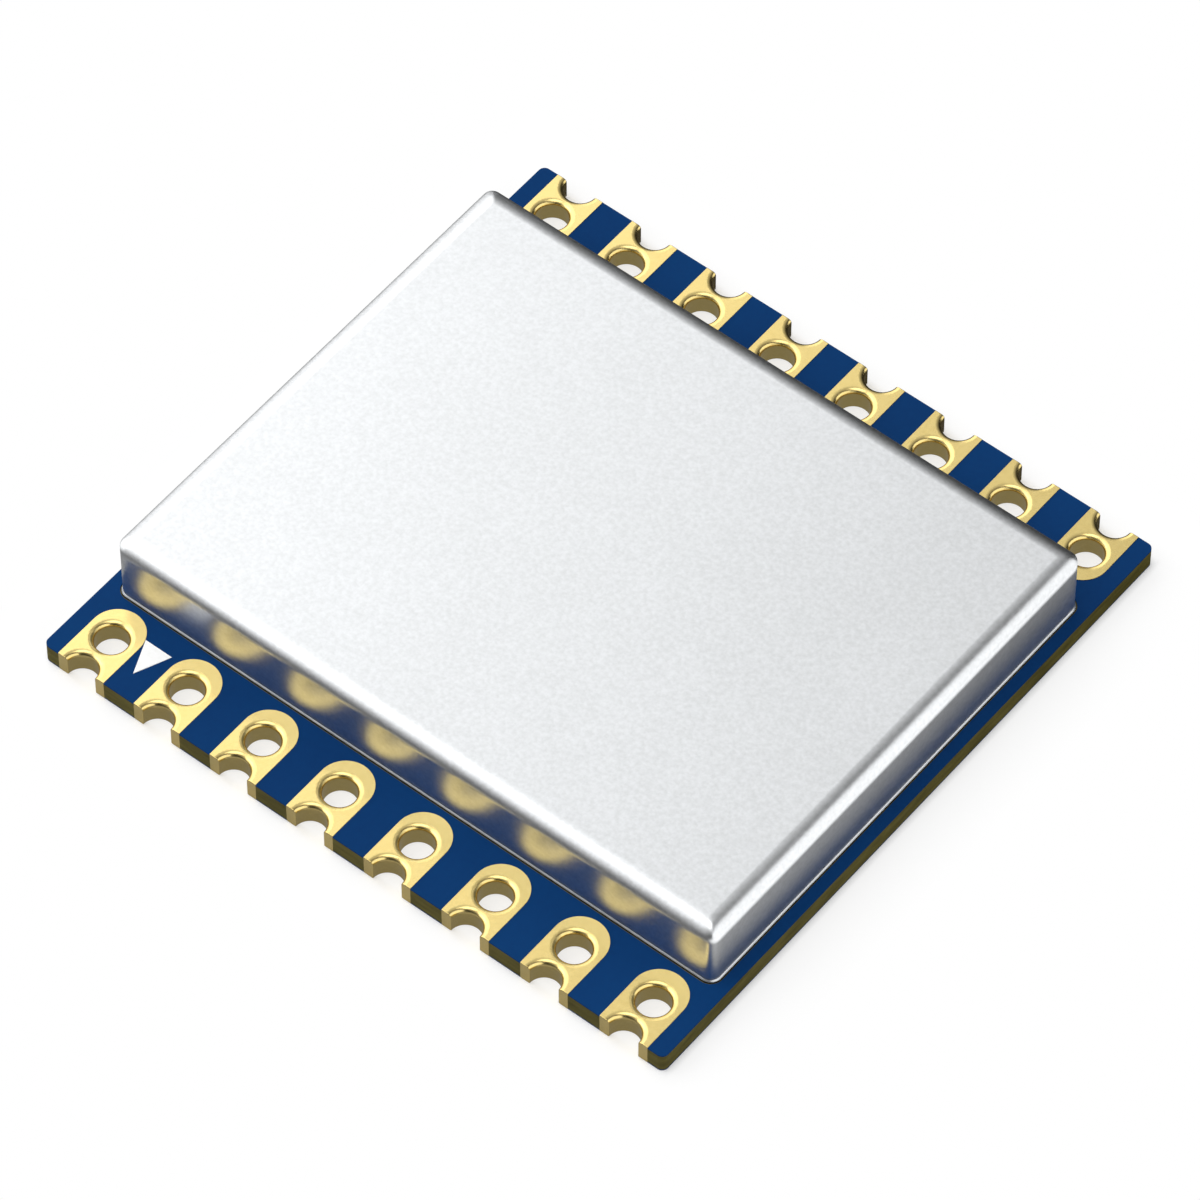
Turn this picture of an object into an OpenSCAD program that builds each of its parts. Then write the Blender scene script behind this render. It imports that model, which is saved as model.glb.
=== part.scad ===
// Surface-mount radio module: a square circuit board with a row of castellated plated pads
// along two edges, a soldered sheet metal shield can and the radio parts that it covers.
// X runs along the pad rows, Y across them and Z up. The bottom lands rest on Z = 0.

/* [Board] */
// Length of the board along the pad rows
board_l = 16; // [15:0.5:30]
// Width of the board across the pad rows
board_w = 16; // [15:0.5:30]
// Thickness of the bare glass laminate
laminate_t = 0.44; // [0.2:0.01:1.6]
// Radius of the board's corners
board_corner_r = 0.15; // [0.05:0.05:0.3]
// Thickness of the solder mask on each side
mask_t = 0.03; // [0.02:0.005:0.06]
// Height of the bare lands above the solder mask
land_rise = 0.015; // [0.005:0.005:0.03]

/* [Castellated pads] */
// Distance between neighbouring pads of a row
pad_pitch = 2; // [1.5:0.01:2.54]
// Width of a pad along the board's edge
pad_w = 1.2; // [1.1:0.02:1.4]
// Length of a pad from the board's edge to its round end
pad_l = 1.72; // [1.6:0.02:2.5]
// Diameter of the plated hole and of the half hole in the edge
hole_d = 0.73; // [0.6:0.01:0.8]
// Distance from the board's edge to the centre of the plated hole
hole_inset = 0.95; // [0.92:0.01:1.1]
// Thickness of the plating in the holes and on the edge
barrel_t = 0.045; // [0.02:0.005:0.06]
// Rounding of the plated rims on the top side
rim_r = 0.09; // [0.02:0.01:0.1]
// Rounding of the plated rims on the underside
foot_rim_r = 0.02; // [0.01:0.01:0.1]
// Least board left beyond the last pad of a row
row_end_margin = 0.35; // [0.2:0.05:2]

/* [Pin one mark] */
// Width of the printed triangle
mark_w = 0.69; // [0.4:0.01:0.9]
// Length of the printed triangle
mark_l = 0.79; // [0.4:0.01:1]
// Distance from the first pad's centre line to that of the triangle
mark_offset = 0.91; // [0.9:0.01:1.1]
// Distance from the board's edge to the triangle's tip
mark_inset = 0.56; // [0.3:0.02:0.9]
// Thickness of the printed ink
ink_t = 0.015; // [0.01:0.005:0.03]

/* [Shield can] */
// Height of the can above its ground land
can_h = 1.66; // [1.3:0.02:4]
// Thickness of the can's sheet
sheet_t = 0.15; // [0.1:0.01:0.3]
// Inner radius of the bend round the top
bend_in_r = 0.05; // [0.04:0.01:0.5]
// How much rounder the upright corners are than the top bend
corner_ease = 0.04; // [0.01:0.01:1]
// Board left clear beyond each end of the can
can_end_margin = 0.32; // [0.16:0.01:3]
// Board left clear between the front pads and the can
can_front_margin = 0.22; // [0.16:0.01:2]
// Board left clear between the back pads and the can
can_back_margin = 0.4; // [0.16:0.01:2]
// Width and height of the solder seam at the foot of the can
seam_w = 0.03; // [0.02:0.01:0.08]
// Laminate left bare between the ground land and the solder mask
ground_relief = 0.03; // [0.02:0.01:0.08]
// Width of the ground land inside the can's walls
ground_inner_w = 0.25; // [0.1:0.05:0.5]

/* [Transceiver chip] */
// Side of the square package
chip_s = 4; // [3:0.5:6]
// Height of the package
chip_h = 0.85; // [0.5:0.05:1]
// Number of leads on each side
chip_leads = 6; // [4:1:7]
// Distance between neighbouring leads
chip_pitch = 0.5; // [0.4:0.01:0.52]
// Width of a lead
chip_lead_w = 0.25; // [0.18:0.01:0.26]
// Length of a lead under the package
chip_lead_l = 0.4; // [0.3:0.02:0.5]
// Thickness of the lead frame
chip_lead_t = 0.2; // [0.1:0.01:0.25]
// Side of the ground pad under the package
ground_pad_s = 2.6; // [1.6:0.1:2.7]

/* [Crystal] */
// Length of the ceramic base
crystal_l = 3.2; // [2:0.1:4]
// Width of the ceramic base
crystal_w = 2.5; // [1.6:0.1:3]
// Height of the ceramic base
crystal_base_h = 0.5; // [0.3:0.05:0.8]
// Height of the metal lid
crystal_lid_h = 0.2; // [0.1:0.05:0.3]
// Ceramic rim left bare round the lid
crystal_rim = 0.15; // [0.05:0.05:0.3]
// Length of a land at the base's corners
crystal_land_l = 0.9; // [0.5:0.05:0.95]
// Width of a land at the base's corners
crystal_land_w = 0.8; // [0.4:0.05:0.85]

/* [Antenna switch] */
// Length of the moulded body along its rows of leads
switch_l = 2; // [1.6:0.1:3]
// Width of the moulded body
switch_w = 1.25; // [1:0.05:2]
// Height of the top of the body
switch_h = 0.95; // [0.6:0.05:1.05]
// Space under the body
switch_lift = 0.05; // [0.02:0.01:0.1]
// Distance between neighbouring leads
switch_pitch = 0.65; // [0.5:0.05:0.75]
// Width of a lead
switch_lead_w = 0.22; // [0.15:0.01:0.3]
// Thickness of a lead
switch_lead_t = 0.12; // [0.08:0.01:0.15]
// Distance from the body to where a lead turns down
switch_shank = 0.1; // [0.05:0.01:0.2]
// Distance from the body to the end of a lead's foot
switch_reach = 0.45; // [0.4:0.01:0.6]

/* [Chip passives] */
// Number of passives in each of the two rows
passives_per_row = 8; // [2:2:8]
// Distance between neighbouring passives
passive_pitch = 1.1; // [0.9:0.05:1.4]
// Length of a passive
passive_l = 1; // [0.8:0.05:1.2]
// Width of a passive
passive_w = 0.5; // [0.3:0.05:0.6]
// Height of a passive
passive_h = 0.5; // [0.3:0.05:0.6]
// Length of a tinned end
tin_l = 0.25; // [0.15:0.01:0.3]
// Thickness of the metal round a tinned end
tin_t = 0.03; // [0.02:0.005:0.05]

/* [Layout] */
// Distance between the transceiver chip and the parts round it
part_spacing = 0.6; // [0.4:0.05:1.2]
// How far a land reaches beyond the terminal on it
land_margin = 0.06; // [0.02:0.01:0.1]

/* [Hidden] */
$fn = 48;
// Overlap of a cut beyond the surface that it opens
over = 1;

land_t = mask_t + land_rise;
board_t = laminate_t + 2 * land_t;
hole_r = hole_d / 2;
drill_r = hole_r + barrel_t;
row_count = floor((board_l - 2 * row_end_margin - pad_w) / pad_pitch) + 1;
pad_count = 2 * row_count;

can_l = board_l - 2 * can_end_margin;
can_w = board_w - 2 * pad_l - can_front_margin - can_back_margin;
can_y = (can_front_margin - can_back_margin) / 2;
bend_out_r = bend_in_r + sheet_t;
corner_r = bend_out_r + corner_ease;
ground_edge = sheet_t + ground_inner_w;

part_reach = chip_s / 2 + part_spacing;
crystal_x = -part_reach - crystal_w / 2;
switch_x = part_reach + switch_reach + switch_w / 2;
switch_lead_z = (switch_lift + switch_h - switch_lead_t) / 2;
passive_y = part_reach + passive_l / 2;
row_half = passives_per_row / 2;

function two_digits(n) = str(n < 10 ? "0" : "", n);
function numbered(name, count) = [for (i = [1:count]) str(name, "_", two_digits(i))];
// Place of one in a row of count that is centred on zero, with i from 0
function in_row(i, count, pitch) = (i - (count - 1) / 2) * pitch;

PAD_NAMES = numbered("castellated_pad", pad_count);
CAPACITOR_NAMES = numbered("capacitor", passives_per_row);
INDUCTOR_NAMES = numbered("inductor", row_half);
RESISTOR_NAMES = numbered("resistor", row_half);

// Rectangle with round corners, centred on the origin
module rounded_rectangle(l, w, r) {
    square([l - 2 * r, w], center = true);
    square([l, w - 2 * r], center = true);
    for (x = [-1, 1], y = [-1, 1])
        translate([x * (l / 2 - r), y * (w / 2 - r)]) circle(r);
}

module board_outline() rounded_rectangle(board_l, board_w, board_corner_r);

// Moves a pad drawn at the board's edge, with Y pointing inwards, to place i of the front or back row
module at_pad(i) {
    back = i > row_count;
    rotate(back ? 180 : 0)
        translate([in_row((i - 1) % row_count, row_count, pad_pitch), -board_w / 2]) children();
}

module at_every_pad() for (i = [1:pad_count]) at_pad(i) children();

module pad_outline() {
    round_y = pad_l - pad_w / 2;
    translate([-pad_w / 2, 0]) square([pad_w, round_y]);
    translate([0, round_y]) circle(d = pad_w);
}

// The two places of a pad that are drilled: the hole and the half hole in the edge
module at_holes() for (y = [0, hole_inset]) translate([0, y]) children();

// What the drill and the edge rebate take out of the laminate at one pad
module drilled_outline() {
    at_holes() circle(drill_r);
    translate([-pad_w / 2, -over]) square([pad_w, over + barrel_t]);
}

// Laminate that stays between a pad's two lands, drawn past the pad's sides
module pad_core_outline() difference() {
    translate([-pad_w, barrel_t]) square([2 * pad_w, pad_l + over]);
    at_holes() circle(drill_r);
}

// Section of one mouth of a plated hole, from its axis to the rounded rim, with the board above zero
module mouth_section(rim) difference() {
    translate([0, -over]) square([hole_r + rim, over + rim]);
    translate([hole_r + rim, rim]) circle(rim);
}

// Section of a plated hole, from its axis to its wall, with both mouths
module plated_hole_section() {
    translate([0, -over]) square([hole_r, board_t + 2 * over]);
    mouth_section(foot_rim_r);
    translate([0, board_t]) mirror([0, 1]) mouth_section(rim_r);
}

module castellated_pad(i) color("#e6c680") at_pad(i) difference() {
    linear_extrude(board_t) pad_outline();
    translate([0, 0, land_t]) linear_extrude(laminate_t) pad_core_outline();
    at_holes() rotate_extrude() plated_hole_section();
}

module laminate_core() color("#5a5222") translate([0, 0, land_t]) linear_extrude(laminate_t) difference() {
    board_outline();
    at_every_pad() drilled_outline();
}

module top_solder_mask() color("#123a6b") translate([0, 0, land_t + laminate_t]) linear_extrude(mask_t)
    difference() {
        board_outline();
        at_every_pad() pad_outline();
        ground_outline(ground_relief);
        component_lands_outline();
    }

module bottom_solder_mask() color("#0f2f58") translate([0, 0, land_rise]) linear_extrude(mask_t)
    difference() {
        board_outline();
        at_every_pad() pad_outline();
    }

// Triangle that points at the board's edge beside the first pad, clipped where it would reach that pad
module pin_one_mark() color("white") translate([0, 0, board_t - land_rise]) linear_extrude(ink_t)
    at_pad(1) difference() {
        translate([mark_offset, mark_inset]) polygon([[0, 0], [mark_w / 2, mark_l], [-mark_w / 2, mark_l]]);
        pad_outline();
    }

module at_can() translate([0, can_y]) children();

// Sweeps a section round the can's outline. The section's X runs outwards from the centre of the corner arcs.
module round_can() for (turn = [0:3]) {
    along_x = turn % 2 == 0;
    reach = (along_x ? can_l : can_w) / 2 - corner_r;
    side = (along_x ? can_w : can_l) - 2 * corner_r;
    rotate(90 * turn) translate([reach, 0]) {
        rotate([90, 0, 0]) linear_extrude(side, center = true) children();
        translate([0, side / 2]) rotate_extrude(angle = 90) children();
    }
}

// Outline of the can's wall and top bend, from the corner arcs' centre to the wall's face
module bend_outline(reach, height, bend_r) {
    square([reach, height - bend_r]);
    square([reach - bend_r, height]);
    translate([reach - bend_r, height - bend_r]) circle(bend_r);
}

module can_section() intersection() {
    difference() {
        bend_outline(corner_r, can_h, bend_out_r);
        bend_outline(corner_r - sheet_t, can_h - sheet_t, bend_in_r);
    }
    square([corner_r, can_h]);
}

module shield_can() color("#d9dcde") at_can() translate([0, 0, board_t]) {
    round_can() can_section();
    translate([0, 0, can_h - sheet_t / 2])
        cube([can_l - 2 * corner_r, can_w - 2 * corner_r, sheet_t], center = true);
}

module shield_solder_seam() color("#c4c8cc") at_can() translate([0, 0, board_t])
    round_can() translate([corner_r, 0]) polygon([[0, 0], [seam_w, 0], [0, seam_w]]);

// Frame that the can stands on: its wall, the seam outside it and a strip inside it, all grown by spread
module ground_outline(spread = 0) at_can() {
    outer = seam_w + spread;
    inner = ground_edge + spread;
    difference() {
        rounded_rectangle(can_l + 2 * outer, can_w + 2 * outer, corner_r + outer);
        square([can_l - 2 * inner, can_w - 2 * inner], center = true);
    }
}

module shield_ground_land() color("#dcb864") translate([0, 0, land_t + laminate_t])
    linear_extrude(land_t) ground_outline();

module at_chip_leads() for (side = [0:3], i = [0:chip_leads - 1])
    rotate(90 * side) translate([(chip_s - chip_lead_l) / 2, in_row(i, chip_leads, chip_pitch)]) children();

module at_switch() translate([switch_x, 0]) children();

module at_switch_leads() at_switch() for (side = [0, 1], i = [-1:1])
    rotate(180 * side) translate([switch_w / 2, i * switch_pitch]) children();

module at_crystal() translate([crystal_x, 0]) children();

// Place i, from 1, in the row of passives behind the chip or in front of it
module at_passive(i, front) {
    x = in_row(i - 1, passives_per_row, passive_pitch);
    translate([x, front ? -passive_y : passive_y]) children();
}

module at_every_passive()
    for (front = [false, true], i = [1:passives_per_row]) at_passive(i, front) children();

module at_passive_ends() for (side = [-1, 1]) translate([0, side * (passive_l - tin_l) / 2]) children();

// Land under a terminal of the given size, centred on it
module land_outline(l, w) square([l + 2 * land_margin, w + 2 * land_margin], center = true);

module component_lands_outline() {
    at_chip_leads() land_outline(chip_lead_l, chip_lead_w);
    land_outline(ground_pad_s, ground_pad_s);
    at_crystal() for (x = [-1, 1], y = [-1, 1])
        translate([x * (crystal_w - crystal_land_w) / 2, y * (crystal_l - crystal_land_l) / 2])
            land_outline(crystal_land_w, crystal_land_l);
    at_switch_leads() translate([(switch_shank + switch_reach) / 2, 0])
        land_outline(switch_reach - switch_shank, switch_lead_w);
    at_every_passive() at_passive_ends() land_outline(passive_w, tin_l);
}

module component_lands() color("#dcb864") translate([0, 0, land_t + laminate_t])
    linear_extrude(land_t) component_lands_outline();

// A block that stands on the lands
module block(l, w, h) translate([0, 0, board_t + h / 2]) cube([l, w, h], center = true);

module transceiver_leads() color("#c9cdd1") at_chip_leads() block(chip_lead_l, chip_lead_w, chip_lead_t);

module transceiver_ground_pad() color("#c9cdd1") block(ground_pad_s, ground_pad_s, chip_lead_t);

module transceiver_chip() color("#2a2c2f") difference() {
    block(chip_s, chip_s, chip_h);
    transceiver_leads();
    transceiver_ground_pad();
}

module crystal_base() color("#4a4038") at_crystal() block(crystal_w, crystal_l, crystal_base_h);

module crystal_lid() color("#cfc6ae") at_crystal() translate([0, 0, crystal_base_h])
    block(crystal_w - 2 * crystal_rim, crystal_l - 2 * crystal_rim, crystal_lid_h);

module antenna_switch() color("#2a2c2f") at_switch() translate([0, 0, switch_lift])
    block(switch_w, switch_l, switch_h - switch_lift);

// Side view of a lead that leaves the body level, turns down and ends in a flat foot
module switch_lead_profile() {
    top = switch_lead_z + switch_lead_t;
    bend = switch_shank + switch_lead_t;
    polygon([
        [0, switch_lead_z], [switch_shank, switch_lead_z], [switch_shank, 0], [switch_reach, 0],
        [switch_reach, switch_lead_t], [bend, switch_lead_t], [bend, top], [0, top]
    ]);
}

module antenna_switch_leads() color("#c9cdd1") at_switch_leads() translate([0, 0, board_t])
    rotate([90, 0, 0]) linear_extrude(switch_lead_w, center = true) switch_lead_profile();

// Ceramic core of a passive, inside the metal of its tinned ends
module passive_core() translate([0, 0, tin_t])
    block(passive_w - 2 * tin_t, passive_l - 2 * tin_t, passive_h - 2 * tin_t);

module capacitor(i) color("#b18f69") at_passive(i, false) passive_core();

module inductor(i) color("#e4e1d8") at_passive(i, true) passive_core();

module resistor(i) color("#202225") at_passive(row_half + i, true) passive_core();

module passive_end_caps() color("#c9cdd1") at_every_passive() difference() {
    at_passive_ends() block(passive_w, tin_l, passive_h);
    passive_core();
}

laminate_core();
top_solder_mask();
bottom_solder_mask();
pin_one_mark();
for (i = [1:pad_count]) castellated_pad(i);
shield_ground_land();
shield_solder_seam();
shield_can();
component_lands();
transceiver_chip();
transceiver_leads();
transceiver_ground_pad();
crystal_base();
crystal_lid();
antenna_switch();
antenna_switch_leads();
for (i = [1:passives_per_row]) capacitor(i);
for (i = [1:row_half]) inductor(i);
for (i = [1:row_half]) resistor(i);
passive_end_caps();
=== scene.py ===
"""Dresses a square surface-mount radio module: plated pads, a satin shield can and a blue board."""

import logging
import math
from dataclasses import dataclass
from enum import Enum

import bmesh
import bpy
from mathutils import Matrix, Vector


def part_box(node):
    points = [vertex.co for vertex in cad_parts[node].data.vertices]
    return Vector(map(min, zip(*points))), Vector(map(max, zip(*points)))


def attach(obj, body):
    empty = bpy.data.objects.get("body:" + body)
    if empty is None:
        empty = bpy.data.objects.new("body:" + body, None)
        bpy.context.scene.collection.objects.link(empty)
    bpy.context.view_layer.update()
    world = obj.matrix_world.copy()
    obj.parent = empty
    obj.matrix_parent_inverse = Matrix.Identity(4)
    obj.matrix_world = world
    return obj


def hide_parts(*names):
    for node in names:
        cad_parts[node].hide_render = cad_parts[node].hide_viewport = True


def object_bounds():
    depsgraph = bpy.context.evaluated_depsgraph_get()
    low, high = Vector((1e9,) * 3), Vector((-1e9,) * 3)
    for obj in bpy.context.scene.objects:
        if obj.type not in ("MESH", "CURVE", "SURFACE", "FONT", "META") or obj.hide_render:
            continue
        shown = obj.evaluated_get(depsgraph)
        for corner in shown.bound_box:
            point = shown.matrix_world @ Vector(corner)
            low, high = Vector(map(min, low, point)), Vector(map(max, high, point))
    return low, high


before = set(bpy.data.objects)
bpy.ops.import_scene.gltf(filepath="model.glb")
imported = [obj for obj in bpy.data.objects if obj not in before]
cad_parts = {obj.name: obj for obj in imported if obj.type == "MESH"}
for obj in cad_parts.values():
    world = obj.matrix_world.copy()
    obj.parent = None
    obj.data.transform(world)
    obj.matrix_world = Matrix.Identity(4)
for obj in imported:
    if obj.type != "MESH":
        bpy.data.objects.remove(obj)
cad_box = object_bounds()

LOG = logging.getLogger("radio_module")
BODY = "root"
MM = 0.001
TINY = 1e-4
QUARTER = math.radians(90)
RIGHT, INWARD, UP = Vector((1, 0, 0)), Vector((0, 1, 0)), Vector((0, 0, 1))
WHITE = (1.0, 1.0, 1.0, 1.0)

# A Mix node has a socket named A for each kind of value, so its colour sockets go by number
COLOUR_A, COLOUR_B, COLOUR_RESULT = 6, 7, 2

Tree = bpy.types.NodeTree
Socket = bpy.types.NodeSocket
Outputs = bpy.types.bpy_prop_collection
Mesh = bpy.types.Mesh
Piece = bpy.types.Object
BMesh = bmesh.types.BMesh
Point = bmesh.types.BMVert
Edge = bmesh.types.BMEdge
Links = dict[str | int, object] | tuple[object, ...]
Span = tuple[float, float]


def linear(code: str) -> tuple[float, float, float, float]:
    """Turns an sRGB hex colour into Blender's linear one, by the standard curve."""
    shares = (int(code[i:i + 2], 16) / 255 for i in (1, 3, 5))
    return (*(s / 12.92 if s <= 0.04045 else ((s + 0.055) / 1.055) ** 2.4 for s in shares), 1.0)


def add_node(tree: Tree, kind: str, links: Links = (), **settings: object) -> Outputs:
    """Adds a shader node.

    Args:
        tree: The tree that gets the node.
        kind: Blender's name of the node.
        links: What goes into the inputs, by their names or numbers or else in order from the
            first: another node's output or a value.
        **settings: The node's own properties.

    Returns:
        The node's outputs.
    """
    node = tree.nodes.new(kind)
    for name, value in settings.items():
        setattr(node, name, value)
    pairs = links.items() if isinstance(links, dict) else enumerate(links)
    for name, value in pairs:
        if isinstance(value, Socket):
            tree.links.new(value, node.inputs[name])
        else:
            node.inputs[name].default_value = value
    return node.outputs


def sight(tree: Tree, glossy: Socket | float) -> Socket:
    """Adds the share of white that a ray sees: all for the camera, some for a reflection.

    Args:
        tree: The tree that gets the nodes.
        glossy: The share in a reflection.

    Returns:
        The share.
    """
    path = add_node(tree, "ShaderNodeLightPath")
    straight = (path["Is Camera Ray"], path["Is Transmission Ray"])
    direct = add_node(tree, "ShaderNodeMath", straight, operation="MAXIMUM")[0]
    weighed = (path["Is Glossy Ray"], glossy)
    mirrored = add_node(tree, "ShaderNodeMath", weighed, operation="MULTIPLY")[0]
    return add_node(tree, "ShaderNodeMath", (direct, mirrored), operation="MAXIMUM")[0]


def box_mm(node: str) -> tuple[Vector, Vector]:
    """Gives the lowest and the highest corner of a CAD node's box in millimetres."""
    low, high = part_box(node)
    return low / MM, high / MM


@dataclass(frozen=True)
class Finish:
    """A surface with a fine grain over a broad cloud, which shade its colour, gloss and level.

    The grain is a noise of grain_mm, stretched along each axis by stretch, and cloud_mm is the
    size of the cloud, which has cloud_share of the whole. A noise keeps mostly to noise_span.
    """

    name: str
    dark: str
    light: str
    roughness: Span
    grain_mm: float
    cloud_mm: float
    cloud_share: float
    metallic: float = 0.0
    specular: float = 0.5
    bump_mm: float = 0.0
    stretch: tuple[float, float, float] = (1.0, 1.0, 1.0)
    noise_span: Span = (0.3, 0.7)
    noise_octaves: float = 2.0
    noise_gain: float = 0.5

    def material(self) -> bpy.types.Material:
        """Gives the finish's material, made on first use.

        Returns:
            A node material that reads Object coordinates.
        """
        made = bpy.data.materials.get(self.name)
        if made:
            return made
        made = bpy.data.materials.new(self.name)
        made.use_nodes = True
        tree = made.node_tree
        surface = tree.nodes["Principled BSDF"].inputs
        surface["Metallic"].default_value = self.metallic
        surface["Specular IOR Level"].default_value = self.specular
        place = add_node(tree, "ShaderNodeTexCoord")["Object"]
        drawn = {"Vector": place, "Scale": [1 / s for s in self.stretch]}
        along = add_node(tree, "ShaderNodeMapping", drawn)["Vector"]
        grain, cloud = (
            add_node(tree, "ShaderNodeTexNoise", {
                "Vector": spot, "Scale": 1 / (2 * size_mm * MM),
                "Detail": self.noise_octaves, "Roughness": self.noise_gain})["Fac"]
            for spot, size_mm in ((along, self.grain_mm), (place, self.cloud_mm)))
        layers = {"Factor": self.cloud_share, "A": grain, "B": cloud}
        level = add_node(tree, "ShaderNodeMix", layers)["Result"]
        shade = add_node(tree, "ShaderNodeMapRange", (level, *self.noise_span))["Result"]
        shades = {"Factor": shade, COLOUR_A: linear(self.dark), COLOUR_B: linear(self.light)}
        colour = add_node(tree, "ShaderNodeMix", shades, data_type="RGBA")[COLOUR_RESULT]
        tree.links.new(colour, surface["Base Color"])
        gloss = {"Value": level, "To Min": self.roughness[0], "To Max": self.roughness[1]}
        tree.links.new(add_node(tree, "ShaderNodeMapRange", gloss)["Result"], surface["Roughness"])
        if self.bump_mm:
            relief = {"Height": grain, "Distance": self.bump_mm * MM}
            tree.links.new(add_node(tree, "ShaderNodeBump", relief)["Normal"], surface["Normal"])
        return made


# Nickel plated steel sheet, rolled and bead blasted: pale grey, a satin sparkle, soft reflections
SATIN_SHEET = Finish(
    "nickel_plated_satin_sheet", dark="#d7d9da", light="#e6e8ea", roughness=(0.30, 0.37),
    grain_mm=0.045, cloud_mm=1.8, cloud_share=0.2, metallic=1.0, bump_mm=0.0006)
# Immersion gold over nickel on copper: warm, smooth and bright, with the copper's faint grain
IMMERSION_GOLD = Finish(
    "immersion_gold_plate", dark="#e6cd84", light="#ecd58e", roughness=(0.20, 0.28),
    grain_mm=0.05, cloud_mm=0.8, cloud_share=0.4, metallic=1.0, bump_mm=0.0003)
# Immersion gold of the ground land painted as a dark brown, half matt film: painted shade for the
# contact shadow along the seam's toe
SHADE_PAINTED_GOLD = Finish(
    "shade_painted_dark_gold_plate", dark="#1d1913", light="#2b251b", roughness=(0.45, 0.60),
    grain_mm=0.05, cloud_mm=0.5, cloud_share=0.5, specular=0.2, bump_mm=0.0005)
# Cured liquid solder mask: deep blue epoxy film, almost flat, with slow changes of depth
BLUE_MASK = Finish(
    "cured_solder_mask", dark="#0a3364", light="#0b396c", roughness=(0.45, 0.60),
    grain_mm=0.06, cloud_mm=1.5, cloud_share=0.7, specular=0.03, bump_mm=0.0004)
# Routed glass epoxy laminate: olive resin with pale lines where the glass layers end
GLASS_LAMINATE = Finish(
    "routed_glass_laminate", dark="#4a4418", light="#6b6330", roughness=(0.55, 0.75),
    grain_mm=0.05, cloud_mm=0.6, cloud_share=0.3, specular=0.2, bump_mm=0.003,
    stretch=(7.0, 7.0, 1.0))
# Screen printed epoxy ink: chalky white with a slightly uneven film
PRINTED_INK = Finish(
    "printed_white_ink", dark="#f4f4f2", light="#fdfdfd", roughness=(0.55, 0.70),
    grain_mm=0.04, cloud_mm=0.3, cloud_share=0.5, specular=0.2, bump_mm=0.001)
# Reflowed tin solder: bright silver, smooth, with frosted patches
REFLOWED_SOLDER = Finish(
    "reflowed_tin_solder", dark="#c8cbcd", light="#dcdedf", roughness=(0.30, 0.45),
    grain_mm=0.05, cloud_mm=0.4, cloud_share=0.5, metallic=1.0, bump_mm=0.001)
# Moulded epoxy compound: charcoal, matt, with a fine filler speckle
MOULDING_COMPOUND = Finish(
    "moulded_epoxy_compound", dark="#26282b", light="#34363a", roughness=(0.55, 0.72),
    grain_mm=0.03, cloud_mm=0.5, cloud_share=0.3, specular=0.35, bump_mm=0.002)
# Matt tin plate: soft grey metal with a fine grain
TIN_PLATE = Finish(
    "matt_tin_plate", dark="#c3c7cb", light="#dcdfe1", roughness=(0.30, 0.45),
    grain_mm=0.03, cloud_mm=0.3, cloud_share=0.4, metallic=1.0, bump_mm=0.001)
# Fired alumina package: brown black ceramic with a dry surface
DARK_CERAMIC = Finish(
    "fired_dark_ceramic", dark="#443b33", light="#54483f", roughness=(0.60, 0.75),
    grain_mm=0.03, cloud_mm=0.4, cloud_share=0.4, specular=0.3, bump_mm=0.002)
# Gold flashed lid: pale warm metal with a drawn grain along its length
LID_METAL = Finish(
    "flashed_lid_metal", dark="#cbc2a8", light="#ddd5bd", roughness=(0.25, 0.38),
    grain_mm=0.02, cloud_mm=0.5, cloud_share=0.3, metallic=1.0, bump_mm=0.0006,
    stretch=(1.0, 12.0, 1.0))
# Barium titanate ceramic: sandy brown, fired and tumbled
CAPACITOR_CERAMIC = Finish(
    "fired_capacitor_ceramic", dark="#a98760", light="#bb9a74", roughness=(0.45, 0.60),
    grain_mm=0.03, cloud_mm=0.3, cloud_share=0.4, bump_mm=0.001)
# Glass ceramic of a layered inductor: off white, fired, faintly mottled
INDUCTOR_CERAMIC = Finish(
    "fired_inductor_ceramic", dark="#dcd8cd", light="#ece9e1", roughness=(0.40, 0.55),
    grain_mm=0.03, cloud_mm=0.3, cloud_share=0.4, bump_mm=0.001)
# Overglaze of a thick film resistor: black glass, shiny with slight waves
RESISTOR_GLAZE = Finish(
    "black_resistor_glaze", dark="#1c1e21", light="#26292d", roughness=(0.18, 0.30),
    grain_mm=0.05, cloud_mm=0.3, cloud_share=0.5, bump_mm=0.001)

# What the CAD nodes that stay are finished with, by a node's name, or its name without a number
NODE_FINISHES = {
    "laminate_core": GLASS_LAMINATE,
    "top_solder_mask": BLUE_MASK,
    "bottom_solder_mask": BLUE_MASK,
    "pin_one_mark": PRINTED_INK,
    # The ground land beside the seam is painted dark brown as painted shade, not lit dark
    "shield_ground_land": SHADE_PAINTED_GOLD,
    "component_lands": IMMERSION_GOLD,
    "transceiver_chip": MOULDING_COMPOUND,
    "transceiver_leads": TIN_PLATE,
    "transceiver_ground_pad": TIN_PLATE,
    "crystal_base": DARK_CERAMIC,
    "crystal_lid": LID_METAL,
    "antenna_switch": MOULDING_COMPOUND,
    "antenna_switch_leads": TIN_PLATE,
    "capacitor": CAPACITOR_CERAMIC,
    "inductor": INDUCTOR_CERAMIC,
    "resistor": RESISTOR_GLAZE,
    "passive_end_caps": TIN_PLATE,
}


class Smoother(Enum):
    """What a modelled mesh still gets from a modifier."""

    WALL = "SOLIDIFY"
    TRUE_FLATS = "WEIGHTED_NORMAL"


class Row(Enum):
    """The two rows of pads, by the turn that takes a pad from the front edge to its row."""

    FRONT = 0.0
    BACK = math.pi


def points_of(geom: list) -> list[Point]:
    """Picks the points out of what a mesh operator gives back."""
    return [part for part in geom if isinstance(part, Point)]


def edges_of(geom: list) -> list[Edge]:
    """Picks the edges out of what a mesh operator gives back."""
    return [part for part in geom if isinstance(part, Edge)]


def all_of(bm: BMesh) -> list:
    """Gives all points, edges and faces of a mesh."""
    return bm.verts[:] + bm.edges[:] + bm.faces[:]


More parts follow.
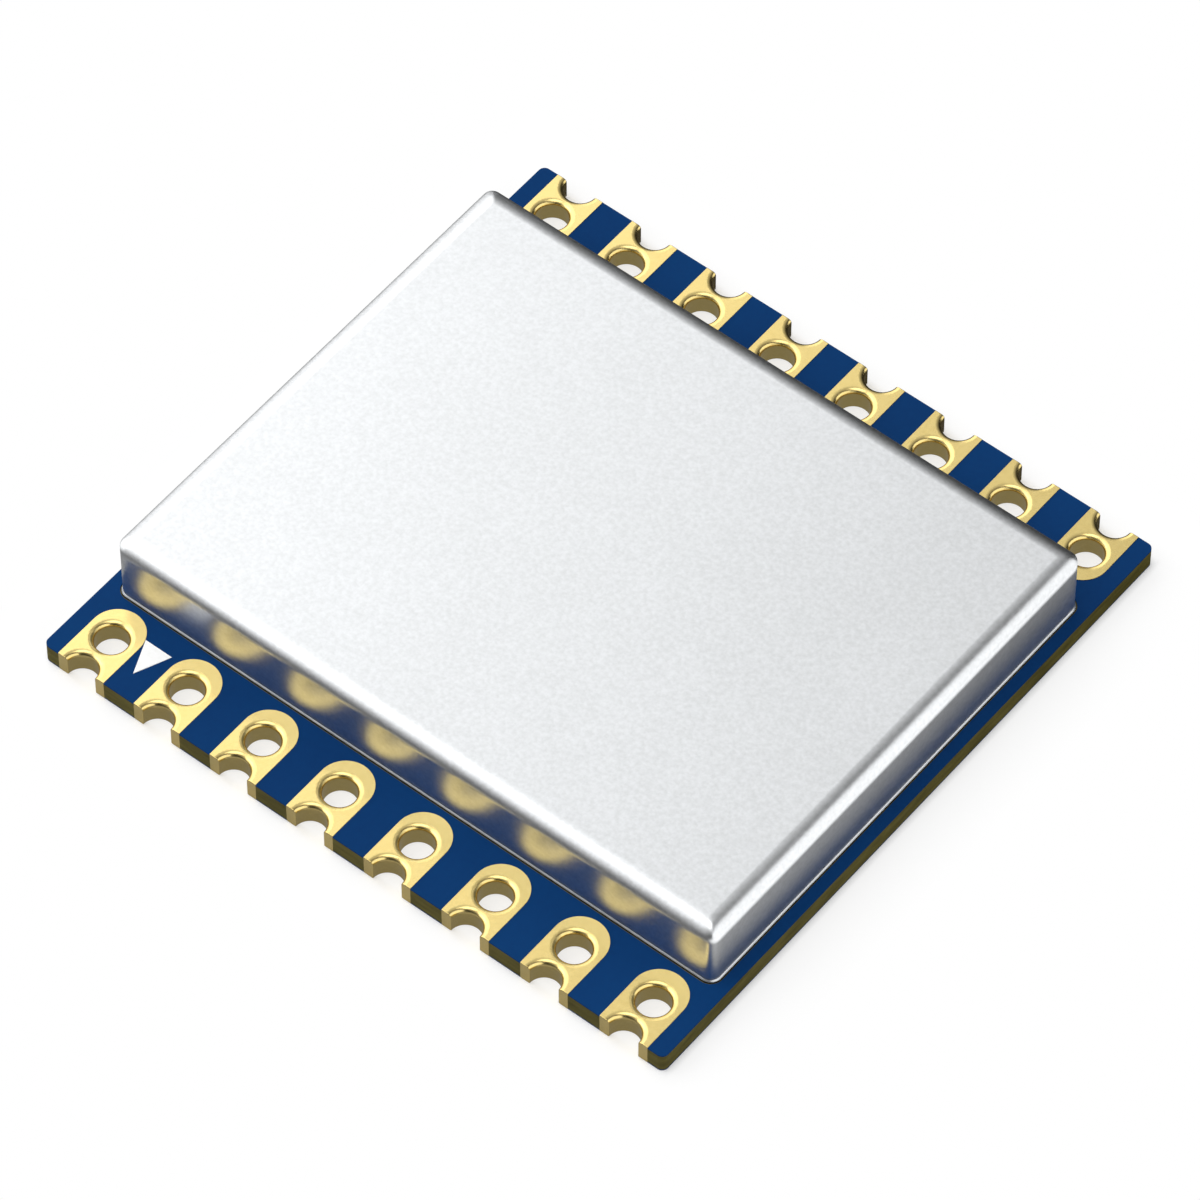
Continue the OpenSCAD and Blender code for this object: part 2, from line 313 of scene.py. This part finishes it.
def round_off(bm: BMesh, edges: list[Edge], radius: float, steps: int) -> None:
    """Rounds edges off by an arc of a radius, in a number of steps."""
    bmesh.ops.bevel(bm, geom=edges, offset=radius, offset_type="OFFSET", segments=steps,
                    profile=0.5, affect="EDGES", clamp_overlap=False, material=-1)


def cut(bm: BMesh, geom: list, facing: Vector, level: float) -> None:
    """Cuts parts of a mesh along a plane and keeps both sides, which leaves their shape."""
    bmesh.ops.bisect_plane(bm, geom=geom, dist=TINY, plane_co=facing * level, plane_no=facing)


def beyond(point: Vector, low: Vector, high: Vector) -> Vector:
    """Gives the way along X and Y from a box to a point, which is zero inside the box."""
    return Vector([point[i] - min(max(point[i], low[i]), high[i]) for i in (0, 1)])


def inner_wall(thickness: float) -> dict[str, object]:
    """Gives the settings of a wall that grows inwards from a skin."""
    return {"thickness": thickness, "offset": -1.0, "use_even_offset": True}


def smoothed(name: str, bm: BMesh, smoothers: dict[Smoother, dict[str, object]]) -> Mesh:
    """Runs a mesh through its modifiers at millimetre scale, where they work finely.

    Args:
        name: Name of the smoothed mesh.
        bm: The mesh in millimetres, which is used up.
        smoothers: The modifiers in order, with their properties.

    Returns:
        The smoothed mesh, still in millimetres.
    """
    for face in bm.faces:
        face.smooth = True
    rough = bpy.data.meshes.new(name + "_rough")
    bm.to_mesh(rough)
    bm.free()
    blank = bpy.data.objects.new(name + "_rough", rough)
    bpy.context.scene.collection.objects.link(blank)
    for kind, settings in smoothers.items():
        modifier = blank.modifiers.new(kind.name, kind.value)
        for key, value in settings.items():
            setattr(modifier, key, value)
    view = bpy.context.evaluated_depsgraph_get()
    mesh = bpy.data.meshes.new_from_object(
        blank.evaluated_get(view), preserve_all_data_layers=True, depsgraph=view)
    bpy.data.objects.remove(blank)
    bpy.data.meshes.remove(rough)
    mesh.name = name
    return mesh


def settle(mesh: Mesh, finish: Finish, node: str) -> Piece:
    """Brings a mesh to metres and makes it a piece that stands for a CAD node.

    Args:
        mesh: The mesh in millimetres, whose name the piece takes.
        finish: What the piece is finished with.
        node: The CAD node that the piece stands for.

    Returns:
        The piece, riding on the module.
    """
    mesh.transform(Matrix.Scale(MM, 4))
    mesh.materials.append(finish.material())
    piece = bpy.data.objects.new(mesh.name, mesh)
    bpy.context.scene.collection.objects.link(piece)
    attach(piece, BODY)
    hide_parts(node)
    LOG.info("%s: %d faces", mesh.name, len(mesh.polygons))
    return piece


@dataclass
class PlatedPads:
    """The two rows of castellated pads: lands on both faces, plated holes and half holes.

    Sizes are in millimetres. A pad is modelled with the board's edge at Y = 0 and Y inwards.
    shade_r is the rims' radius in the shading alone, which a grid of shade_step carries.
    """

    prefix: str = "castellated_pad_"
    hole_r: float = 0.365
    hole_inset: float = 0.95
    rim_r: float = 0.09
    foot_rim_r: float = 0.02
    plate_t: float = 0.045
    edge_ease: float = 0.015
    shade_r: float = 0.12
    shade_step: float = 0.03
    quarter_steps: int = 16
    rim_steps: int = 8
    ease_steps: int = 3
    flat_weight: int = 100

    def arc(self, bm: BMesh, start: Vector, centre: Vector, quarters: int) -> tuple[Point, Point]:
        """Draws an arc by spinning a point.

        Args:
            bm: The mesh that gets the arc.
            start: Where the arc starts.
            centre: The arc's centre.
            quarters: How many quarters of a turn it has.

        Returns:
            The first and the last point.
        """
        first = bm.verts.new(start)
        spun = bmesh.ops.spin(bm, geom=[first], cent=centre, axis=UP, angle=quarters * QUARTER,
                              steps=quarters * self.quarter_steps)
        return first, points_of(spun["geom_last"])[0]

    def plan(self, half: float, end: Vector) -> BMesh:
        """Draws the land from above: a strip with a round end, a hole and a half hole.

        Args:
            half: Half the pad's width.
            end: The round end's centre.

        Returns:
            The land as a flat face on each side of the middle.
        """
        hole = INWARD * self.hole_inset
        bm = bmesh.new()
        notch = self.arc(bm, RIGHT * self.hole_r, Vector(), quarters=1)
        bore = self.arc(bm, hole - INWARD * self.hole_r, hole, quarters=2)
        bow = self.arc(bm, end + RIGHT * half, end, quarters=1)
        corner = bm.verts.new(RIGHT * half)
        for pair in ((notch[1], bore[0]), (bore[1], bow[1]), (bow[0], corner), (corner, notch[0])):
            bm.edges.new(pair)
        bmesh.ops.edgeloop_fill(bm, edges=bm.edges[:])
        bmesh.ops.mirror(bm, geom=all_of(bm), merge_dist=TINY, axis="X")
        return bm

    def skin(self, size: Vector) -> BMesh:
        """Models the metal's outer face: both lands, the barrels and the plated front.

        Args:
            size: The pad's width, length and height.

        Returns:
            The open skin, which gets its thickness later.
        """
        half = size.x / 2
        end = INWARD * (size.y - half)
        bm = self.plan(half, end)
        raised = bmesh.ops.extrude_face_region(bm, geom=bm.faces[:])
        bmesh.ops.translate(bm, vec=UP * size.z, verts=points_of(raised["geom"]))
        bmesh.ops.recalc_face_normals(bm, faces=bm.faces[:])
        sides = [f for f in bm.faces if abs(f.normal.z) < TINY
                 and self.is_outside(f.calc_center_median(), half, end.y)]
        bmesh.ops.delete(bm, geom=sides, context="FACES")
        for level, radius in ((size.z, self.rim_r), (0.0, self.foot_rim_r)):
            rims = [e for e in bm.edges if self.is_rim(e, level)]
            round_off(bm, rims, radius, self.rim_steps)
        cut(bm, all_of(bm), UP, size.z - self.shade_r)
        return bm

    def dressed(self, wall: Mesh, size: Vector) -> BMesh:
        """Eases the front edges and cuts the top land into a fine grid, which carries the shading.

        Args:
            wall: The pad with its thickness, which is used up.
            size: The pad's width, length and height.

        Returns:
            The dressed pad.
        """
        bm = bmesh.new()
        bm.from_mesh(wall)
        bpy.data.meshes.remove(wall)
        front = [e for e in bm.edges if self.is_front(e, size.x / 2)]
        round_off(bm, front, self.edge_ease, self.ease_steps)
        for facing, start, span in ((RIGHT, -size.x / 2, size.x), (INWARD, 0.0, size.y)):
            count = round(span / self.shade_step)
            for i in range(1, count):
                land = [f for f in bm.faces if all(v.co.z > size.z - TINY for v in f.verts)]
                parts = {part for f in land for part in (f, *f.edges, *f.verts)}
                cut(bm, list(parts), facing, start + span * i / count)
        return bm

    def flare(self, mesh: Mesh, height: float) -> None:
        """Shades the land and the bores as if the rims were rounded by shade_r, for a broad glint.

        Args:
            mesh: The pad.
            height: Height of its top land.
        """
        normals = [corner.vector.copy() for corner in mesh.corner_normals]
        leans = [self.lean(vertex.co, height) for vertex in mesh.vertices]
        for i, loop in enumerate(mesh.loops):
            normals[i] = leans[loop.vertex_index] or normals[i]
        mesh.normals_split_custom_set(normals)

    def lean(self, point: Vector, height: float) -> Vector | None:
        """Gives the shading direction at a point of the top land, a rim or a bore.

        Args:
            point: The point.
            height: Height of the top land.

        Returns:
            A direction, or nothing where the point lies elsewhere.
        """
        shown = abs(point.z - height) < TINY
        lean = UP * max(point.z - height + self.shade_r, 0.0)
        for y in (0.0, self.hole_inset):
            out = Vector((point.x, point.y - y, 0))
            rim = Vector((out.length - self.hole_r - self.rim_r, point.z - height + self.rim_r))
            on_rim = rim.x < TINY and rim.y > -TINY and abs(rim.length - self.rim_r) < TINY
            on_bore = abs(out.length - self.hole_r) < TINY and point.z > self.foot_rim_r - TINY
            shown = shown or on_rim or on_bore
            lean -= out.normalized() * max(self.hole_r + self.shade_r - out.length, 0.0)
        return lean.normalized() if shown else None

    def is_outside(self, point: Vector, half: float, end_y: float) -> bool:
        """Tells whether a side face lies on the land's outline, where the metal ends."""
        past_end = max(point.y - end_y, 0.0)
        return point.y > TINY and math.hypot(point.x, past_end) > half - self.plate_t

    def is_rim(self, edge: Edge, level: float) -> bool:
        """Tells whether an edge runs round the mouth of the hole or half hole at one level."""
        return all(abs(v.co.z - level) < TINY for v in edge.verts) and any(
            all(abs((v.co.xy - Vector((0, y))).length - self.hole_r) < TINY for v in edge.verts)
            for y in (0.0, self.hole_inset))

    def is_front(self, edge: Edge, half: float) -> bool:
        """Tells whether an edge bounds the plated front face, apart from the face's own ends."""
        flat = [f for f in edge.link_faces if all(abs(v.co.y) < TINY for v in f.verts)]
        return len(flat) == 1 and any(abs(v.co.x) < half - TINY for v in edge.verts)

    def model(self, size: Vector) -> Mesh:
        """Models one pad.

        Args:
            size: The pad's width, length and height.

        Returns:
            The pad's mesh.
        """
        plated = smoothed("plated_wall", self.skin(size),
                          {Smoother.WALL: inner_wall(self.plate_t)})
        flats = {"weight": self.flat_weight, "keep_sharp": True, "thresh": TINY}
        pad = smoothed("plated_pad", self.dressed(plated, size), {Smoother.TRUE_FLATS: flats})
        self.flare(pad, size.z)
        return pad

    def build(self) -> list[Piece]:
        """Makes every pad in its place.

        Returns:
            The pads, in the order of their numbers.
        """
        nodes = sorted(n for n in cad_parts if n.startswith(self.prefix))
        low, high = box_mm(nodes[0])
        model = self.model(high - low)
        pads = []
        for node in nodes:
            low, high = box_mm(node)
            row = Row.FRONT if low.y < 0 else Row.BACK
            edge_y = low.y if row is Row.FRONT else high.y
            mesh = model.copy()
            mesh.name = node.replace("castellated", "plated")
            place = Matrix.Translation(((low.x + high.x) / 2, edge_y, low.z))
            mesh.transform(place @ Matrix.Rotation(row.value, 4, "Z"))
            pads.append(settle(mesh, IMMERSION_GOLD, node))
        bpy.data.meshes.remove(model)
        return pads


@dataclass
class ShieldCan:
    """The drawn can with its open foot on the ground land, and the solder seam round that foot.

    Sizes are in millimetres. shade_r is the bend's radius in the shading alone, and corner_pull
    is how strongly a corner's shading keeps to the nearer wall. A point counts as on the outer
    face if it lies no deeper than skin_share of the sheet. seam_leans are the slopes in the
    seam's shading at the wall and at its toe.
    """

    can_node: str = "shield_can"
    seam_node: str = "shield_solder_seam"
    sheet_t: float = 0.15
    bend_r: float = 0.20
    corner_r: float = 0.24
    shade_r: float = 0.39
    skin_share: float = 0.25
    corner_pull: int = 2
    arc_steps: int = 14
    seam_steps: int = 6
    seam_leans: Span = (math.radians(42), math.radians(20))

    def can_mesh(self) -> BMesh:
        """Models the can's outer face: an open box with its uprights and top edges bent round.

        Returns:
            The open skin, which gets its thickness later.
        """
        low, high = box_mm(self.can_node)
        bm = bmesh.new()
        place = Matrix.Translation((low + high) / 2) @ Matrix.Diagonal((*(high - low), 1))
        bmesh.ops.create_cube(bm, size=1, matrix=place)
        foot = [f for f in bm.faces if f.normal.z < -TINY]
        bmesh.ops.delete(bm, geom=foot, context="FACES")
        uprights = [e for e in bm.edges if abs(e.verts[0].co.z - e.verts[1].co.z) > TINY]
        round_off(bm, uprights, self.corner_r, self.arc_steps)
        brim = [e for e in bm.edges if all(v.co.z > high.z - TINY for v in e.verts)]
        round_off(bm, brim, self.bend_r, self.arc_steps)
        for inset in (self.shade_r, (self.shade_r + self.bend_r) / 2):
            for facing, level in ((RIGHT, low.x + inset), (RIGHT, high.x - inset),
                                  (INWARD, low.y + inset), (INWARD, high.y - inset),
                                  (UP, high.z - inset)):
                cut(bm, all_of(bm), facing, level)
        bmesh.ops.recalc_face_normals(bm, faces=bm.faces[:])
        return bm

    def soften(self, mesh: Mesh) -> None:
        """Shades the outer face as if its top edges were bent by shade_r, for a broad soft light.

        Near an upright corner the nearer wall pulls the shading to itself, which keeps the corner
        crisp.

        Args:
            mesh: The can.
        """
        low, high = box_mm(self.can_node)
        inset = Vector((self.shade_r,) * 3)
        low, high = low + inset, high - inset
        normals = []
        for vertex in mesh.vertices:
            level = beyond(vertex.co, low, high)
            rise = max(vertex.co.z - high.z, 0.0)
            depth = self.shade_r - math.hypot(*level, rise)
            reach = max(abs(level.x), abs(level.y)) or 1.0
            pulled = Vector([s * abs(s) ** self.corner_pull for s in level / reach])
            away = (pulled.normalized() * reach).to_3d() + UP * rise
            outer = depth < self.sheet_t * self.skin_share
            normals.append(away.normalized() if outer else Vector())
        mesh.normals_split_custom_set_from_vertices(normals)

    def seam_mesh(self) -> BMesh:
        """Models the solder's hollow fillet and sweeps it round the can's foot.

        Returns:
            The closed ring of solder.
        """
        low, high = box_mm(self.seam_node)
        wall = box_mm(self.can_node)[1].x
        width = high.x - wall
        right, back = wall - self.corner_r, high.y - width - self.corner_r
        front = low.y + width + self.corner_r
        bm = bmesh.new()
        toe = bm.verts.new((high.x, front, low.z))
        hollow = Vector((high.x, front, low.z + width))
        spun = bmesh.ops.spin(bm, geom=[toe], cent=hollow, axis=INWARD, angle=QUARTER,
                              steps=self.seam_steps)
        crest = points_of(spun["geom_last"])[0]
        heel = bm.verts.new((wall, front, low.z))
        for pair in ((crest, heel), (heel, toe)):
            bm.edges.new(pair)
        section = bm.edges[:]
        corners = [Vector((x, y, 0)) for x, y in
                   ((right, back), (-right, back), (-right, front), (right, front))]
        for before, corner in zip((corners[-1], *corners), corners):
            drawn = bmesh.ops.extrude_edge_only(bm, edges=section)["geom"]
            ends = points_of(drawn)
            bmesh.ops.translate(bm, vec=corner - before, verts=ends)
            turned = bmesh.ops.spin(bm, geom=edges_of(drawn) + ends, cent=corner, axis=UP,
                                    angle=QUARTER, steps=self.arc_steps)
            section = edges_of(turned["geom_last"])
        bmesh.ops.remove_doubles(bm, verts=bm.verts[:], dist=TINY)
        bmesh.ops.recalc_face_normals(bm, faces=bm.faces[:])
        return bm

    def steepen(self, mesh: Mesh) -> None:
        """Shades the seam as a narrow bead, whose crest leans up more than its toe.

        Args:
            mesh: The seam.
        """
        low, high = box_mm(self.can_node)
        width = box_mm(self.seam_node)[1].x - high.x
        inset = Vector((self.corner_r,) * 3)
        low, high = low + inset, high - inset
        at_wall, at_toe = self.seam_leans
        normals = []
        for vertex in mesh.vertices:
            away = beyond(vertex.co, low, high)
            share = max(away.length - self.corner_r, 0.0) / width
            lean = at_wall + (at_toe - at_wall) * share
            outward = away.normalized().to_3d()
            normals.append(outward * math.cos(lean) + UP * math.sin(lean))
        mesh.normals_split_custom_set_from_vertices(normals)

    def build(self) -> list[Piece]:
        """Makes the can and its seam.

        Returns:
            The two pieces.
        """
        can = smoothed("satin_shield_can", self.can_mesh(),
                       {Smoother.WALL: inner_wall(self.sheet_t)})
        self.soften(can)
        seam = smoothed("solder_fillet", self.seam_mesh(), {})
        self.steepen(seam)
        return [settle(can, SATIN_SHEET, self.can_node),
                settle(seam, REFLOWED_SOLDER, self.seam_node)]


@dataclass
class Board:
    """The laminate with its masks and lands, and the parts under the can, in their CAD shapes."""

    def build(self) -> list[Piece]:
        """Dresses each CAD node that stays.

        Returns:
            The dressed nodes.
        """
        dressed = []
        for name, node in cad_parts.items():
            kind = name.rstrip("0123456789_")
            finish = NODE_FINISHES.get(name) or NODE_FINISHES.get(kind)
            if finish is None:
                continue
            for slot in node.material_slots:
                slot.material = finish.material()
            LOG.info("%s: %s", name, finish.name)
            dressed.append(node)
        return dressed


@dataclass(frozen=True)
class SoftBox:
    """A rectangular soft light in metres, by the radiance that a mirror would show."""

    name: str
    place: tuple[float, float, float]
    aim: tuple[float, float, float]
    width: float
    height: float
    radiance: float

    def build(self) -> None:
        """Hangs the light, out of the camera's own sight."""
        lamp = bpy.data.lights.new(self.name, "AREA")
        lamp.shape = "RECTANGLE"
        lamp.size, lamp.size_y = self.width, self.height
        lamp.energy = self.radiance * math.pi * self.width * self.height
        box = bpy.data.objects.new(self.name, lamp)
        box.location = self.place
        box.rotation_euler = Vector(self.aim).to_track_quat("-Z", "Y").to_euler()
        box.visible_camera = False
        bpy.context.scene.collection.objects.link(box)


# Large lights for the can's top and bends, and two cards on the floor for its side walls
SOFT_BOXES = (
    SoftBox("left_wall", place=(-0.12, -0.0175, 0.133), aim=(1, 0, 0),
            width=0.365, height=0.266, radiance=1.03),
    SoftBox("front_left", place=(-0.25, -0.185, 0.18), aim=(0.25, 0.185, -0.18),
            width=0.3, height=0.16, radiance=0.9),
    SoftBox("overhead", place=(0.02, -0.10, 0.26), aim=(-0.02, 0.10, -0.26),
            width=0.2, height=0.2, radiance=1.6),
    SoftBox("low_right", place=(0.15, 0.025, 0.073), aim=(-1, 0, 0),
            width=0.35, height=0.146, radiance=1.4),
    SoftBox("right_card", place=(0.07, 0.02, 0.0002), aim=(0, 0, 1),
            width=0.12, height=0.16, radiance=0.4),
    SoftBox("left_card", place=(-0.08, 0.02, 0.0002), aim=(0, 0, 1),
            width=0.12, height=0.16, radiance=0.4),
)


@dataclass
class StudioFloor:
    """A pale round floor that is white to the camera and keeps the module's shadow.

    Reflections see it white at both sides and dark behind the module. It is clear from below and
    lets the room's light pass under the board, so that the underside can be seen. Sizes are in
    metres: white_right, white_left and white_ends are where the white of reflections rises to 1,
    fade is where the near grey turns to the far one, and dark_back where the grey comes up from
    dark_share of itself.
    """

    name: str = "studio_floor"
    radius: float = 0.6
    sides: int = 96
    drop: float = 0.00002
    board_half: float = cad_box[1][0]
    shadow_reach: float = 0.0015
    shadow_white: float = 0.7
    contact_reach: float = 0.00015
    contact_white: float = 0.4
    white_right: Span = (0.0087, 0.0108)
    white_left: Span = (-0.011, -0.022)
    white_ends: Span = (0.022, 0.014)
    dark_back: Span = (0.009, -0.004)
    dark_share: float = 0.12
    near_grey: str = "#a8a8a8"
    far_grey: str = "#606060"
    fade: Span = (0.0082, 0.0105)

    def mirrored(self, tree: Tree, across: Socket, ahead: Socket) -> Socket:
        """Adds the share of white that a reflection sees.

        Args:
            tree: The floor's node tree.
            across: Place along X.
            ahead: Distance from the middle along Y.

        Returns:
            The share.
        """
        right, left, ends = (
            add_node(tree, "ShaderNodeMapRange", (value, *span))["Result"]
            for value, span in ((across, self.white_right), (across, self.white_left),
                                (ahead, self.white_ends)))
        sides = add_node(tree, "ShaderNodeMath", (right, left), operation="MAXIMUM")[0]
        return add_node(tree, "ShaderNodeMath", (sides, ends), operation="MULTIPLY")[0]

    def grey(self, tree: Tree, edge: Socket, along: Socket) -> Socket:
        """Adds the grey that lights the module from below: pale beside it and dark behind it.

        Args:
            tree: The floor's node tree.
            edge: Distance from the middle to the square that runs through the point.
            along: Place along Y.

        Returns:
            The colour.
        """
        far = add_node(tree, "ShaderNodeMapRange", (edge, *self.fade))["Result"]
        greys = {"Factor": far, COLOUR_A: linear(self.near_grey), COLOUR_B: linear(self.far_grey)}
        faded = add_node(tree, "ShaderNodeMix", greys, data_type="RGBA")[COLOUR_RESULT]
        rise = (along, *self.dark_back, self.dark_share)
        links = {0: faded, "Scale": add_node(tree, "ShaderNodeMapRange", rise)["Result"]}
        return add_node(tree, "ShaderNodeVectorMath", links, operation="SCALE")[0]

    def unshaded(self, tree: Tree, edge: Socket) -> Socket:
        """Adds the share of plain white, which falls towards the board's edge.

        Args:
            tree: The floor's node tree.
            edge: Distance from the middle to the square that runs through the point.

        Returns:
            The share.
        """
        half = self.board_half
        broad = (edge, half, half + self.shadow_reach, self.shadow_white)
        shadow = add_node(tree, "ShaderNodeMapRange", broad)["Result"]
        past = add_node(tree, "ShaderNodeMath", (edge, half), operation="SUBTRACT")[0]
        apart = add_node(tree, "ShaderNodeMath", (past,), operation="ABSOLUTE")[0]
        narrow = (apart, 0.0, self.contact_reach, self.contact_white)
        contact = add_node(tree, "ShaderNodeMapRange", narrow)["Result"]
        return add_node(tree, "ShaderNodeMath", (shadow, contact), operation="MULTIPLY")[0]

    def opening(self, tree: Tree, edge: Socket) -> Socket:
        """Adds the share that is clear: from below, and under the board to all but the camera.

        Args:
            tree: The floor's node tree.
            edge: Distance from the middle to the square that runs through the point.

        Returns:
            The share.
        """
        below = add_node(tree, "ShaderNodeNewGeometry")["Backfacing"]
        camera = add_node(tree, "ShaderNodeLightPath")["Is Camera Ray"]
        under = add_node(tree, "ShaderNodeMath", (edge, self.board_half), operation="LESS_THAN")[0]
        passing = add_node(tree, "ShaderNodeMath", (under, camera), operation="SUBTRACT")[0]
        return add_node(tree, "ShaderNodeMath", (below, passing), operation="MAXIMUM")[0]

    def material(self) -> bpy.types.Material:
        """Makes the floor's paint.

        Returns:
            A node material that reads Object coordinates.
        """
        paint = bpy.data.materials.new("pale_studio_floor")
        paint.use_nodes = True
        tree = paint.node_tree
        tree.nodes.remove(tree.nodes["Principled BSDF"])
        place = add_node(tree, "ShaderNodeTexCoord")["Object"]
        parts = add_node(tree, "ShaderNodeSeparateXYZ", (place,))
        aside, ahead = (add_node(tree, "ShaderNodeMath", (parts[axis],), operation="ABSOLUTE")[0]
                        for axis in "XY")
        edge = add_node(tree, "ShaderNodeMath", (aside, ahead), operation="MAXIMUM")[0]
        seen = sight(tree, self.mirrored(tree, parts["X"], ahead))
        tones = {"Factor": seen, COLOUR_A: self.grey(tree, edge, parts["Y"]), COLOUR_B: WHITE}
        colour = add_node(tree, "ShaderNodeMix", tones, data_type="RGBA")[COLOUR_RESULT]
        matt = add_node(tree, "ShaderNodeBsdfDiffuse", {"Color": colour})[0]
        glow = add_node(tree, "ShaderNodeEmission", {"Color": WHITE, "Strength": 1.0})[0]
        shares = (seen, self.unshaded(tree, edge))
        white = add_node(tree, "ShaderNodeMath", shares, operation="MULTIPLY")[0]
        lit = add_node(tree, "ShaderNodeMixShader", (white, matt, glow))[0]
        clear = add_node(tree, "ShaderNodeBsdfTransparent")[0]
        sided = add_node(tree, "ShaderNodeMixShader", (self.opening(tree, edge), lit, clear))[0]
        tree.links.new(sided, tree.nodes["Material Output"].inputs["Surface"])
        return paint

    def build(self) -> None:
        """Lays the floor just below the module."""
        bm = bmesh.new()
        bmesh.ops.create_circle(bm, cap_ends=True, radius=self.radius, segments=self.sides,
                                matrix=Matrix.Translation(-UP * self.drop))
        mesh = bpy.data.meshes.new(self.name)
        bm.to_mesh(mesh)
        bm.free()
        mesh.materials.append(self.material())
        floor = bpy.data.objects.new(self.name, mesh)
        bpy.context.scene.collection.objects.link(floor)


@dataclass
class StudioRoom:
    """A grey room that pales upwards and to the left; the camera sees plain white.

    The grey is slope times the direction plus shift, but no darker than least_above over the
    floor and least_below under it.
    """

    name: str = "studio_room"
    slope: tuple[float, float, float] = (-0.61, -0.038, 0.857)
    shift: float = -0.175
    least_above: float = 0.02
    least_below: float = 0.24

    def build(self) -> None:
        """Makes the room the scene's world."""
        world = bpy.data.worlds.new(self.name)
        world.use_nodes = True
        tree = world.node_tree
        way = add_node(tree, "ShaderNodeTexCoord")["Generated"]
        links = (way, self.slope)
        slant = add_node(tree, "ShaderNodeVectorMath", links, operation="DOT_PRODUCT")["Value"]
        sloped = add_node(tree, "ShaderNodeMath", (slant, self.shift), operation="ADD")[0]
        height = add_node(tree, "ShaderNodeSeparateXYZ", (way,))["Z"]
        sunk = add_node(tree, "ShaderNodeMath", (height, 0.0), operation="LESS_THAN")[0]
        limits = {"Factor": sunk, "A": self.least_above, "B": self.least_below}
        least = add_node(tree, "ShaderNodeMix", limits)["Result"]
        grey = add_node(tree, "ShaderNodeMath", (sloped, least), operation="MAXIMUM")[0]
        levels = {"Factor": sight(tree, glossy=0.0), "A": grey, "B": 1.0}
        level = add_node(tree, "ShaderNodeMix", levels)["Result"]
        background = tree.nodes["Background"].inputs
        background["Color"].default_value = WHITE
        tree.links.new(level, background["Strength"])
        bpy.context.scene.world = world


@dataclass
class PhotoCamera:
    """The camera where the photograph was taken from.

    The azimuth and the elevation are in degrees, clip is in metres and the rest in millimetres.
    """

    name: str = "photo_camera"
    azimuth: float = 38.8542
    elevation: float = 53.4148
    distance: float = 173.818
    aim: tuple[float, float, float] = (0.0735, -0.1297, 0.541)
    lens: float = 257.74
    sensor: float = 36.0
    clip: Span = (0.001, 10.0)

    def build(self) -> None:
        """Sets up the camera and shows its picture without a film look."""
        turn, rise = math.radians(self.azimuth), math.radians(self.elevation)
        level = RIGHT * math.sin(turn) - INWARD * math.cos(turn)
        away = level * math.cos(rise) + UP * math.sin(rise)
        data = bpy.data.cameras.new(self.name)
        data.lens, data.sensor_width = self.lens, self.sensor
        data.clip_start, data.clip_end = self.clip
        camera = bpy.data.objects.new(self.name, data)
        camera.location = (Vector(self.aim) + away * self.distance) * MM
        camera.rotation_euler = (-away).to_track_quat("-Z", "Y").to_euler()
        bpy.context.scene.collection.objects.link(camera)
        bpy.context.scene.camera = camera
        bpy.context.scene.view_settings.view_transform = "Standard"


def main() -> None:
    """Builds the studio and the module's sub-assemblies in order."""
    logging.basicConfig(level=logging.INFO, format="%(message)s")
    for fitting in (PhotoCamera(), StudioFloor(), StudioRoom(), *SOFT_BOXES):
        fitting.build()
    for assembly in (Board(), PlatedPads(), ShieldCan()):
        made = assembly.build()
        LOG.info("%s: %d pieces", type(assembly).__name__, len(made))


if __name__ == "__main__":
    main()
